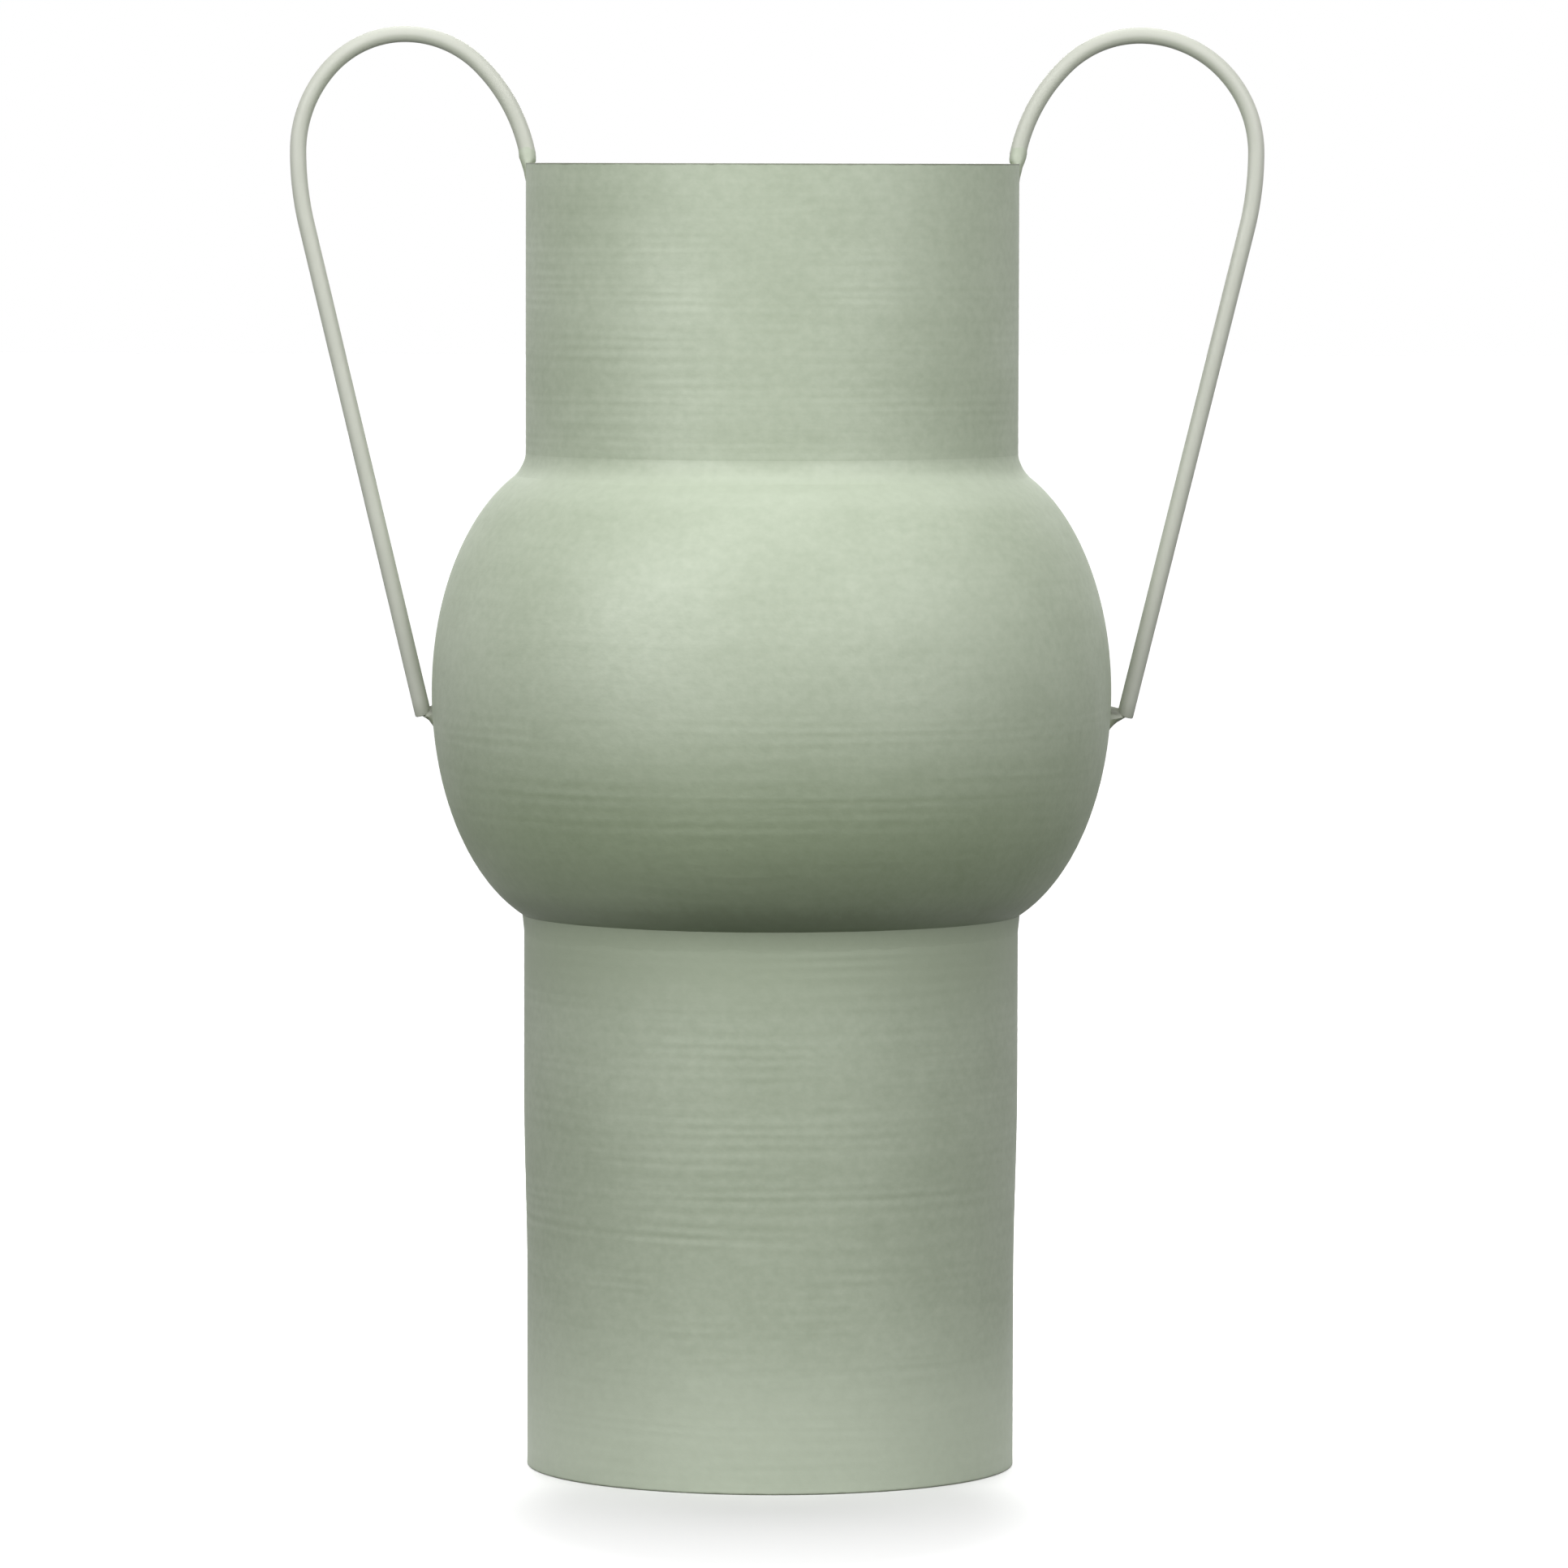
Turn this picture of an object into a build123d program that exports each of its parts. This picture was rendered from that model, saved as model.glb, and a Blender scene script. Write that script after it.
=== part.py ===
from build123d import *
from math import radians, sqrt, tan
import os

# Urn vase of painted sheet iron with two wire loop handles, in millimetres.
# The origin is the middle of the foot on the floor, +Z is up and the handles stand along X.

# Stock
sheet = 1.0  # wall of every tube and shell
wire_diameter = 4.0

# Foot, belly and neck, over the outside and from the floor up
foot_height = 134.8
foot_diameter = 120.6  # at its top
foot_draw = 0.8  # how far its wall is drawn in at the floor
foot_ease_start = 46.0  # height where it begins to widen
foot_ease_length = 46.0  # height over which it widens
belly_height = 109.0
belly_diameter = 165.8
belly_overrun = 3.6  # how far past each crease the belly's oval would close
neck_length = 74.2
neck_diameter = 120.0

# Base plate, set up inside the foot
base_recess = 2.5  # from the floor to the plate's underside
base_thickness = 1.2
base_clearance = 0.1  # all round, inside the foot
base_weld_leg = 2.0

# Seams of the tubes and the belly
seam_gap = 1.2  # root gap that the weld fills
ring_clearance = 0.1  # between a ring of weld and the tube that it runs round
belly_seam_bead = 0.5  # stands proud inside the belly
neck_weld_rise = 3.4  # up the neck from the upper crease
neck_weld_reach = 2.6  # out over the belly from the neck
foot_weld_length = 6.0  # down the foot from the lower crease
foot_weld_proud = 0.8

# Handles, along the wire's middle
crown_rise = 31.2  # top of the loop above the rim
crown_reach = 29.3  # top of the loop out from the neck's outside
left_reach = 55.4  # widest point of the loop out from the neck's outside
right_reach = 57.6
reach_rise = 2.7  # widest point of the loop above the rim
stem_lean = 10.5  # degrees from upright, where the wire meets the rim
stem_gap = 1.6  # from the rim up to the wire's end
leg_bend_radius = 78.0  # between the loop and the straight leg
leg_end_drop = 6.0  # wire's lower end below the belly's middle
left_leg_gap = 0.2  # between the wire and the belly, bridged by weld
right_leg_gap = 1.5

# Welds at the handles' ends
rim_weld_collar = 0.25  # wider than the wire all round
rim_weld_drop = 5.0  # down the neck's outside from the rim
rim_weld_bite = 1.0  # runs on this far into the neck before it is cut away
rim_weld_tip = 1.2  # radius of its lower end
belly_weld_width = 3.2
belly_weld_rise = 2.6  # up between the wire and the belly from the wire's end
belly_weld_drop = 3.6  # down the belly from the wire's end

# Radii and levels that follow from these
foot_top_radius = foot_diameter / 2
foot_base_radius = foot_top_radius - foot_draw
belly_radius = belly_diameter / 2
neck_radius = neck_diameter / 2
wire_radius = wire_diameter / 2
half_belly = belly_height / 2
lower_crease = foot_height
belly_middle = lower_crease + half_belly
upper_crease = lower_crease + belly_height
rim = upper_crease + neck_length
oval_height = half_belly + belly_overrun
margin = 1.0  # cutters run past what they cut by this much


def level_share(level, height):
    # Half width of an oval at a level, as a share of its half width at the middle.
    return sqrt(1 - (level / height) ** 2)


def oval_width(end_radius):
    # Half width of the oval that passes the belly's widest point and one end of the belly.
    return (belly_radius - end_radius) / (1 - level_share(half_belly, oval_height))


def belly_radius_at(level, end_radius):
    # Outside radius of the belly at a height from its middle.
    width = oval_width(end_radius)
    return belly_radius - width + width * level_share(level, oval_height)


def belly_level_at(radius, end_radius):
    # Height from the belly's middle where its outside has a radius.
    width = oval_width(end_radius)
    return oval_height * level_share(radius - belly_radius + width, width)


def block(low, high):
    # Rectangle between two corners, each a radius and a height.
    size = (high[0] - low[0], high[1] - low[1])
    return Pos((low[0] + high[0]) / 2, (low[1] + high[1]) / 2) * Rectangle(*size)


def turned(section):
    # Ring made by turning a section, drawn as radius and height, about the vase's axis.
    return revolve(Plane.XZ * section, axis=Axis.Z)


def belly_section(end_radius, inset=0.0):
    # Half of an oval that the belly's outside, or its inside, follows.
    width = oval_width(end_radius)
    middle = belly_radius - width
    oval = Pos(middle, belly_middle) * Ellipse(width - inset, oval_height - inset)
    return oval & block((middle, lower_crease), (belly_radius, upper_crease))


def belly_solid(end_radius):
    # Everything within the belly's outside, cut flat at both creases.
    core = block((0, lower_crease), (belly_radius - oval_width(end_radius), upper_crease))
    return turned(core + belly_section(end_radius))


def tube_seam(bottom, top, radius):
    # Slot at the back where a rolled sheet's edges stand apart.
    depth = radius + margin
    slot = Box(seam_gap, depth, top - bottom + 2 * margin)
    return Pos(0, depth / 2, (bottom + top) / 2) * slot


def neck_whole():
    return turned(block((neck_radius - sheet, upper_crease), (neck_radius, rim)))


def foot_edge(inset):
    # Line up the foot's wall, easing out from the base to the top.
    base = foot_base_radius - inset
    top = foot_top_radius - inset
    ease_middle = foot_ease_start + foot_ease_length / 2
    ease_end = foot_ease_start + foot_ease_length
    lower = Line((base, 0), (base, foot_ease_start))
    ease = Bezier(lower @ 1, (base, ease_middle), (top, ease_middle), (top, ease_end))
    return [lower, ease, Line(ease @ 1, (top, foot_height))]


def foot_whole():
    outside = foot_edge(0)
    inside = foot_edge(sheet)
    floor_edge = Line(inside[0] @ 0, outside[0] @ 0)
    top_edge = Line(inside[-1] @ 1, outside[-1] @ 1)
    return turned(make_face([*outside, *inside, floor_edge, top_edge]))


def belly_shell(end_radius, low, high):
    wall = belly_section(end_radius) - belly_section(end_radius, sheet)
    return turned(wall & block((0, low), (belly_radius, high)))


def belly_seam_weld():
    inner = belly_radius - sheet - belly_seam_bead
    bead = block((inner, belly_middle - seam_gap / 2), (belly_radius, belly_middle + seam_gap / 2))
    return turned(bead & belly_section(neck_radius))


def neck_joint_weld():
    # Dressed fillet in the crease, cut to the neck's wall and the belly's skin.
    wall = neck_radius + ring_clearance
    reach_radius = neck_radius + neck_weld_reach
    reach_level = belly_middle + belly_level_at(reach_radius, neck_radius)
    fillet = Polygon(
        (wall, upper_crease + neck_weld_rise),
        (reach_radius, reach_level),
        (wall, reach_level),
        align=None,
    )
    return turned(fillet - belly_section(neck_radius))


def foot_joint_weld():
    # Bead under the belly that thins out down the foot.
    wall = foot_top_radius + ring_clearance
    proud = foot_top_radius + foot_weld_proud
    bead = Polygon(
        (wall, lower_crease - foot_weld_length),
        (proud, lower_crease),
        (proud, lower_crease + margin),
        (wall, lower_crease + margin),
        align=None,
    )
    return turned(bead - belly_section(foot_top_radius))


def base_plate():
    radius = foot_base_radius - sheet - base_clearance
    return turned(block((0, base_recess), (radius, base_recess + base_thickness)))


def base_weld():
    wall = foot_base_radius - sheet - ring_clearance
    return turned(
        Polygon(
            (wall, base_recess),
            (wall - base_weld_leg, base_recess),
            (wall, base_recess - base_weld_leg),
            align=None,
        )
    )


def leg_end(leg_gap):
    # Middle of the wire at its lower end, beside the belly.
    radius = belly_radius_at(leg_end_drop, foot_top_radius) + leg_gap + wire_radius
    return Vector(radius, 0, belly_middle - leg_end_drop)


def stem_end():
    # Middle of the wire at its upper end, over the neck's wall.
    return Vector(neck_radius - sheet / 2, 0, rim + stem_gap)


def fair_bend(start, corner, end):
    # Two tangent arcs that round a corner, meeting at the middle of its inscribed circle.
    across = (end - start).length
    before = (corner - start).length
    after = (end - corner).length
    joint = (start * after + corner * across + end * before) / (across + before + after)
    first = TangentArc(start, joint, tangent=corner - start)
    return [first, TangentArc(joint, end, tangent=first % 1)]


def leg_run(end, widest):
    # Straight leg and the long bend that turns it upright at the loop's widest point.
    to_middle = widest - Vector(leg_bend_radius, 0, 0) - end
    length = sqrt(to_middle.length**2 - leg_bend_radius**2)
    along = to_middle.normalized()
    outward = Vector(along.Z, 0, -along.X)
    top = end + (along * length + outward * leg_bend_radius) * (length / to_middle.length)
    return [Line(end, top), TangentArc(top, widest, tangent=top - end)]


def handle_path(reach, leg_gap):
    # Wire's middle line from the belly up over the loop and down to the rim.
    widest = Vector(neck_radius + reach, 0, rim + reach_rise)
    crown = Vector(neck_radius + crown_reach, 0, rim + crown_rise)
    stem = stem_end()
    outer_corner = Vector(widest.X, 0, crown.Z)
    inner_corner = Vector(stem.X + (crown.Z - stem.Z) * tan(radians(stem_lean)), 0, crown.Z)
    outer = fair_bend(widest, outer_corner, crown)
    inner = fair_bend(crown, inner_corner, stem)
    return Wire([*leg_run(leg_end(leg_gap), widest), *outer, *inner])


def handle(path):
    section = Plane(origin=path @ 0, z_dir=path % 0) * Circle(wire_radius)
    return sweep(section, path=path)


def rim_weld(path):
    # Tapered nugget from the wire's end down over the rim, cut away to the neck's outside.
    collar = Plane(origin=path @ 1, z_dir=path % 1) * Circle(wire_radius + rim_weld_collar)
    tip_level = rim - rim_weld_drop - rim_weld_bite
    tip_middle = neck_radius - rim_weld_tip - rim_weld_bite * tan(radians(stem_lean))
    tip = Pos(tip_middle, 0, tip_level) * Circle(rim_weld_tip)
    neck_plug = turned(block((0, tip_level - margin), (neck_radius, rim)))
    return loft([collar, tip]) - neck_plug


def belly_weld(leg_gap, wire):
    # Wedge between the wire's end and the belly, cut to both.
    end = leg_end(leg_gap)
    root = end.X - wire_radius - leg_gap - sheet
    wedge = Polygon(
        (end.X, end.Z),
        (end.X, end.Z + belly_weld_rise),
        (root, end.Z + belly_weld_rise),
        (root, end.Z - belly_weld_drop),
        align=None,
    )
    nugget = extrude(Plane.XZ * wedge, amount=belly_weld_width / 2, both=True)
    return nugget - belly_solid(foot_top_radius) - wire


def mirrored(piece):
    return mirror(piece, about=Plane.YZ)


def vase_pieces():
    neck_slot = tube_seam(upper_crease, rim, neck_radius)
    foot_slot = tube_seam(0, foot_height, foot_top_radius)
    left_path = handle_path(left_reach, left_leg_gap)
    right_path = handle_path(right_reach, right_leg_gap)
    left_wire = handle(left_path)
    right_wire = handle(right_path)
    return {
        "neck_tube": neck_whole() - neck_slot,
        "neck_seam_weld": neck_whole() & neck_slot,
        "neck_joint_weld": neck_joint_weld(),
        "belly_upper_shell": belly_shell(neck_radius, belly_middle + seam_gap / 2, upper_crease),
        "belly_lower_shell": belly_shell(foot_top_radius, lower_crease, belly_middle - seam_gap / 2),
        "belly_seam_weld": belly_seam_weld(),
        "foot_joint_weld": foot_joint_weld(),
        "foot_tube": foot_whole() - foot_slot,
        "foot_seam_weld": foot_whole() & foot_slot,
        "base_plate": base_plate(),
        "base_weld": base_weld(),
        "left_handle": mirrored(left_wire),
        "right_handle": right_wire,
        "left_rim_weld": mirrored(rim_weld(left_path)),
        "right_rim_weld": rim_weld(right_path),
        "left_belly_weld": mirrored(belly_weld(left_leg_gap, left_wire)),
        "right_belly_weld": belly_weld(right_leg_gap, right_wire),
    }


os.makedirs("parts", exist_ok=True)
for name, piece in vase_pieces().items():
    export_step(piece, f"parts/{name}.step")
    print(name, round(piece.volume, 1), "mm3,", len(piece.solids()), "solid")
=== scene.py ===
import math
import bpy
from mathutils import Matrix, Vector, noise


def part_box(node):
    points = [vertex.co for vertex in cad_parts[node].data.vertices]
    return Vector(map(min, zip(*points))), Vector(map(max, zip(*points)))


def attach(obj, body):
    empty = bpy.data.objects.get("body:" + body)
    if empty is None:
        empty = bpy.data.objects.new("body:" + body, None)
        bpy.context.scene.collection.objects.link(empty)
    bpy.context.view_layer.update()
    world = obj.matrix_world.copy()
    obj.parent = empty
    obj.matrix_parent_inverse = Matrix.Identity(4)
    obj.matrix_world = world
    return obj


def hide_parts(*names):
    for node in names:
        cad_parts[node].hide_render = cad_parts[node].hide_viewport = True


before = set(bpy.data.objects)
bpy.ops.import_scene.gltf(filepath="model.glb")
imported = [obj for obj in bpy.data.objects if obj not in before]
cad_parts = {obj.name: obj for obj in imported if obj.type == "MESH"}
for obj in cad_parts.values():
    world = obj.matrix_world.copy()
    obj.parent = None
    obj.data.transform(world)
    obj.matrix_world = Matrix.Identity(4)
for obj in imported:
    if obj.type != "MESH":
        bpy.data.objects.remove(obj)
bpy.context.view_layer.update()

scene = bpy.context.scene
scene.view_settings.view_transform = "Standard"
mm = 0.001


# camera, at the photograph's angle

cameraLook = {
    "place": (3.1 * mm, -2404 * mm, 318 * mm),  # level with the rim
    "pitchDown": 3.6,
    "roll": 0.126,  # the photograph leans a hair to the right
    "lens": 226.5,
}


def makeCamera(look):
    data = bpy.data.cameras.new("photoCamera")
    data.lens = look["lens"]
    data.sensor_width = 36
    data.clip_start = 0.1
    data.clip_end = 60
    camera = bpy.data.objects.new("photoCamera", data)
    scene.collection.objects.link(camera)
    aim = Matrix.Rotation(math.radians(90 - look["pitchDown"]), 4, "X")
    roll = Matrix.Rotation(math.radians(look["roll"]), 4, "Z")
    camera.matrix_world = Matrix.Translation(look["place"]) @ aim @ roll
    scene.camera = camera


makeCamera(cameraLook)
print("camera set")


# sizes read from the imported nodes

neckLow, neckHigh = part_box("neck_tube")
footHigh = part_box("foot_tube")[1]
seamLow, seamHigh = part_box("belly_seam_weld")
plateLow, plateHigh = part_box("base_plate")
sheet = 1.0 * mm
neckRadius = neckHigh.x
footTopRadius = footHigh.x
bellyRadius = seamHigh.x
upperCrease = neckLow.z
lowerCrease = footHigh.z
rim = neckHigh.z
bellyMiddle = (upperCrease + lowerCrease) / 2
halfBelly = (upperCrease - lowerCrease) / 2
ovalHeight = halfBelly + 3.6 * mm  # the belly's oval would close this far past each crease
widths = tuple(2 * radius / mm for radius in (neckRadius, bellyRadius, footTopRadius))
print("neck %.1f, belly %.1f, foot %.1f mm across" % widths)


# node helpers; a Mix node takes its two colours at sockets 6 and 7 and gives one at 2

def addNode(tree, kind, place, **values):
    node = tree.nodes.new(kind)
    node.location = place
    for key, value in values.items():
        setattr(node, key, value)
    return node


def setInputs(node, **values):
    for key, value in values.items():
        node.inputs[key.replace("_", " ")].default_value = value
    return node


def newGroup(name, inputs, outputs):
    group = bpy.data.node_groups.new(name, "ShaderNodeTree")
    for label, kind, value in inputs:
        socket = group.interface.new_socket(label, in_out="INPUT", socket_type=kind)
        socket.default_value = value
    for label, kind in outputs:
        group.interface.new_socket(label, in_out="OUTPUT", socket_type=kind)
    start = addNode(group, "NodeGroupInput", (-900, 0))
    end = addNode(group, "NodeGroupOutput", (700, 0))
    return group, start, end


def scaledCoords(tree, place, scale):
    coords = addNode(tree, "ShaderNodeTexCoord", place)
    mapping = addNode(tree, "ShaderNodeMapping", (place[0] + 200, place[1]))
    mapping.inputs["Scale"].default_value = scale
    tree.links.new(coords.outputs["Object"], mapping.inputs["Vector"])
    return mapping.outputs["Vector"]


def addNoise(tree, place, scale, detail, roughness):
    texture = addNode(tree, "ShaderNodeTexNoise", place)
    setInputs(texture, Scale=1.0, Detail=detail, Roughness=roughness)
    tree.links.new(scaledCoords(tree, (place[0] - 450, place[1]), scale), texture.inputs["Vector"])
    return texture


# cells per metre across, deep and up; the lines are long round the vase and narrow up it
textureScale = {
    "lines": (10, 10, 440),
    "lineFade": (16, 16, 26),
    "grain": (400, 400, 520),
    "patches": (30, 30, 44),
    "tooth": (1500, 1500, 1900),
    "specks": (95, 95, 95),
    "wear": (260, 260, 260),
}


# long lines left by turning the sheet, and the short grain of the brush over them
def spunLinesGroup():
    group, start, end = newGroup(
        "spunLines",
        [
            ("Lines", "NodeSocketFloat", 1.0),
            ("Grain", "NodeSocketFloat", 1.0),
            ("Reach", "NodeSocketFloat", 0.5),
        ],
        [("Height", "NodeSocketFloat"), ("Streak", "NodeSocketFloat")],
    )
    links = group.links
    lines = addNoise(group, (-400, 250), textureScale["lines"], detail=3.0, roughness=0.6)
    grain = addNoise(group, (-400, 0), textureScale["grain"], detail=2.0, roughness=0.55)
    patch = addNoise(group, (-400, -250), textureScale["lineFade"], detail=2.0, roughness=0.5)
    # the lines fade in and out in patches
    fade = addNode(group, "ShaderNodeMapRange", (-180, -250))
    setInputs(fade, From_Min=0.35, From_Max=0.65, To_Min=0.25, To_Max=1.0)
    links.new(patch.outputs["Fac"], fade.inputs["Value"])
    lineMiddle = addNode(group, "ShaderNodeMath", (-180, 250), operation="SUBTRACT")
    lineMiddle.inputs[1].default_value = 0.5
    links.new(lines.outputs["Fac"], lineMiddle.inputs[0])
    lineAmount = addNode(group, "ShaderNodeMath", (0, 250), operation="MULTIPLY")
    links.new(lineMiddle.outputs[0], lineAmount.inputs[0])
    links.new(start.outputs["Lines"], lineAmount.inputs[1])
    broken = addNode(group, "ShaderNodeMath", (180, 200), operation="MULTIPLY")
    links.new(lineAmount.outputs[0], broken.inputs[0])
    links.new(fade.outputs["Result"], broken.inputs[1])
    grainMiddle = addNode(group, "ShaderNodeMath", (-180, 20), operation="SUBTRACT")
    grainMiddle.inputs[1].default_value = 0.5
    links.new(grain.outputs["Fac"], grainMiddle.inputs[0])
    both = addNode(group, "ShaderNodeMath", (340, 80), operation="MULTIPLY_ADD")
    links.new(grainMiddle.outputs[0], both.inputs[0])
    links.new(start.outputs["Grain"], both.inputs[1])
    links.new(broken.outputs[0], both.inputs[2])
    links.new(both.outputs[0], end.inputs["Height"])
    streak = addNode(group, "ShaderNodeMath", (520, -60), operation="MULTIPLY_ADD")
    streak.inputs[2].default_value = 0.5
    links.new(both.outputs[0], streak.inputs[0])
    links.new(start.outputs["Reach"], streak.inputs[1])
    links.new(streak.outputs[0], end.inputs["Streak"])
    return group


# thin sprayed paint: soft patches of tone, a fine tooth, a few dark specks, and painted shade on the faces
# that look down
def sprayedPaintGroup():
    group, start, end = newGroup(
        "sprayedPaint",
        [
            ("Tone", "NodeSocketColor", (0.4, 0.45, 0.35, 1)),
            ("Deep", "NodeSocketColor", (0.3, 0.35, 0.25, 1)),
            ("Under", "NodeSocketColor", (0.3, 0.35, 0.22, 1)),
            ("Speck", "NodeSocketColor", (0.1, 0.1, 0.08, 1)),
            ("Streak", "NodeSocketFloat", 0.5),
            ("Specks", "NodeSocketFloat", 0.05),
        ],
        [("Color", "NodeSocketColor"), ("Tooth", "NodeSocketFloat"), ("Sheen", "NodeSocketFloat")],
    )
    links = group.links
    soft = addNoise(group, (-600, 300), textureScale["patches"], detail=4.0, roughness=0.55)
    tooth = addNoise(group, (-600, 50), textureScale["tooth"], detail=3.0, roughness=0.6)
    spots = setInputs(addNode(group, "ShaderNodeTexVoronoi", (-600, -200)), Scale=1.0, Randomness=1.0)
    links.new(scaledCoords(group, (-1050, -220), textureScale["specks"]), spots.inputs["Vector"])
    # tone: patches, then the streaks of the spun lines
    patch = addNode(group, "ShaderNodeMapRange", (-400, 300))
    setInputs(patch, From_Min=0.3, From_Max=0.7, To_Min=0.08, To_Max=0.42)
    links.new(soft.outputs["Fac"], patch.inputs["Value"])
    streakShare = addNode(group, "ShaderNodeMath", (-400, 120), operation="SUBTRACT", use_clamp=True)
    streakShare.inputs[0].default_value = 1.0
    links.new(start.outputs["Streak"], streakShare.inputs[1])
    share = addNode(group, "ShaderNodeMath", (-200, 220), operation="MULTIPLY_ADD", use_clamp=True)
    share.inputs[1].default_value = 0.6
    links.new(streakShare.outputs[0], share.inputs[0])
    links.new(patch.outputs["Result"], share.inputs[2])
    tone = addNode(group, "ShaderNodeMix", (0, 250), data_type="RGBA")
    links.new(share.outputs[0], tone.inputs["Factor"])
    links.new(start.outputs["Tone"], tone.inputs[6])
    links.new(start.outputs["Deep"], tone.inputs[7])
    # painted shade: the tone is darkened on faces that look down, for the shade under the belly and the
    # wires
    facing = addNode(group, "ShaderNodeTexCoord", (-400, 620))
    split = addNode(group, "ShaderNodeSeparateXYZ", (-200, 620))
    links.new(facing.outputs["Normal"], split.inputs["Vector"])
    down = addNode(group, "ShaderNodeMapRange", (0, 560), interpolation_type="SMOOTHSTEP")
    setInputs(down, From_Min=0.07, From_Max=-0.42, To_Min=0.0, To_Max=0.84)
    links.new(split.outputs["Z"], down.inputs["Value"])
    shadedUnder = addNode(group, "ShaderNodeMix", (160, 360), data_type="RGBA", blend_type="MULTIPLY")
    links.new(down.outputs["Result"], shadedUnder.inputs["Factor"])
    links.new(tone.outputs[2], shadedUnder.inputs[6])
    links.new(start.outputs["Under"], shadedUnder.inputs[7])
    # specks: only the closest points of a few cells
    close = addNode(group, "ShaderNodeMapRange", (-400, -160))
    setInputs(close, From_Min=0.05, From_Max=0.03, To_Min=0.0, To_Max=1.0)
    links.new(spots.outputs["Distance"], close.inputs["Value"])
    chosen = addNode(group, "ShaderNodeSeparateColor", (-400, -330))
    links.new(spots.outputs["Color"], chosen.inputs["Color"])
    few = addNode(group, "ShaderNodeMath", (-200, -330), operation="LESS_THAN")
    links.new(chosen.outputs["Red"], few.inputs[0])
    links.new(start.outputs["Specks"], few.inputs[1])
    speck = addNode(group, "ShaderNodeMath", (0, -220), operation="MULTIPLY")
    links.new(close.outputs["Result"], speck.inputs[0])
    links.new(few.outputs[0], speck.inputs[1])
    colour = addNode(group, "ShaderNodeMix", (300, 120), data_type="RGBA")
    links.new(speck.outputs[0], colour.inputs["Factor"])
    links.new(shadedUnder.outputs[2], colour.inputs[6])
    links.new(start.outputs["Speck"], colour.inputs[7])
    links.new(colour.outputs[2], end.inputs["Color"])
    links.new(tooth.outputs["Fac"], end.inputs["Tooth"])
    sheen = addNode(group, "ShaderNodeMapRange", (300, -120))
    setInputs(sheen, From_Min=0.3, From_Max=0.7, To_Min=-0.05, To_Max=0.06)
    links.new(soft.outputs["Fac"], sheen.inputs["Value"])
    links.new(sheen.outputs["Result"], end.inputs["Sheen"])
    return group


# narrow or broad band round the vase at a level: worn sheet edges, and painted shade and painted light near
# the creases, the welds and the foot
def wearAndLightBandGroup():
    group, start, end = newGroup(
        "wearAndLightBand",
        [
            ("Level", "NodeSocketFloat", 0.3),
            ("Width", "NodeSocketFloat", 0.001),
            ("Worn", "NodeSocketFloat", 1.0),
        ],
        [("Band", "NodeSocketFloat")],
    )
    links = group.links
    coords = addNode(group, "ShaderNodeTexCoord", (-700, 200))
    split = addNode(group, "ShaderNodeSeparateXYZ", (-500, 200))
    links.new(coords.outputs["Object"], split.inputs["Vector"])
    away = addNode(group, "ShaderNodeMath", (-300, 150), operation="SUBTRACT")
    links.new(split.outputs["Z"], away.inputs[0])
    links.new(start.outputs["Level"], away.inputs[1])
    size = addNode(group, "ShaderNodeMath", (-120, 150), operation="ABSOLUTE")
    links.new(away.outputs[0], size.inputs[0])
    share = addNode(group, "ShaderNodeMath", (40, 100), operation="DIVIDE")
    links.new(size.outputs[0], share.inputs[0])
    links.new(start.outputs["Width"], share.inputs[1])
    rough = addNoise(group, (-120, -120), textureScale["wear"], detail=3.0, roughness=0.6)
    middle = addNode(group, "ShaderNodeMath", (60, -120), operation="SUBTRACT")
    middle.inputs[1].default_value = 0.5
    links.new(rough.outputs["Fac"], middle.inputs[0])
    ragged = addNode(group, "ShaderNodeMath", (220, 40), operation="MULTIPLY_ADD")
    links.new(middle.outputs[0], ragged.inputs[0])
    links.new(start.outputs["Worn"], ragged.inputs[1])
    links.new(share.outputs[0], ragged.inputs[2])
    band = addNode(group, "ShaderNodeMapRange", (380, 40), interpolation_type="SMOOTHSTEP")
    setInputs(band, From_Min=1.1, From_Max=0.3, To_Min=0.0, To_Max=1.0)
    links.new(ragged.outputs[0], band.inputs["Value"])
    links.new(band.outputs["Result"], end.inputs["Band"])
    return group


spunLines = spunLinesGroup()
sprayedPaint = sprayedPaintGroup()
wearAndLightBand = wearAndLightBandGroup()


# a colour as it is seen, 0 to 255, as the linear colour that the sockets take
def toLinear(colour):
    shares = [c / 255 for c in colour]
    return tuple(s / 12.92 if s < 0.0404 else ((s + 0.055) / 1.055) ** 2.4 for s in shares) + (1.0,)


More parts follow.
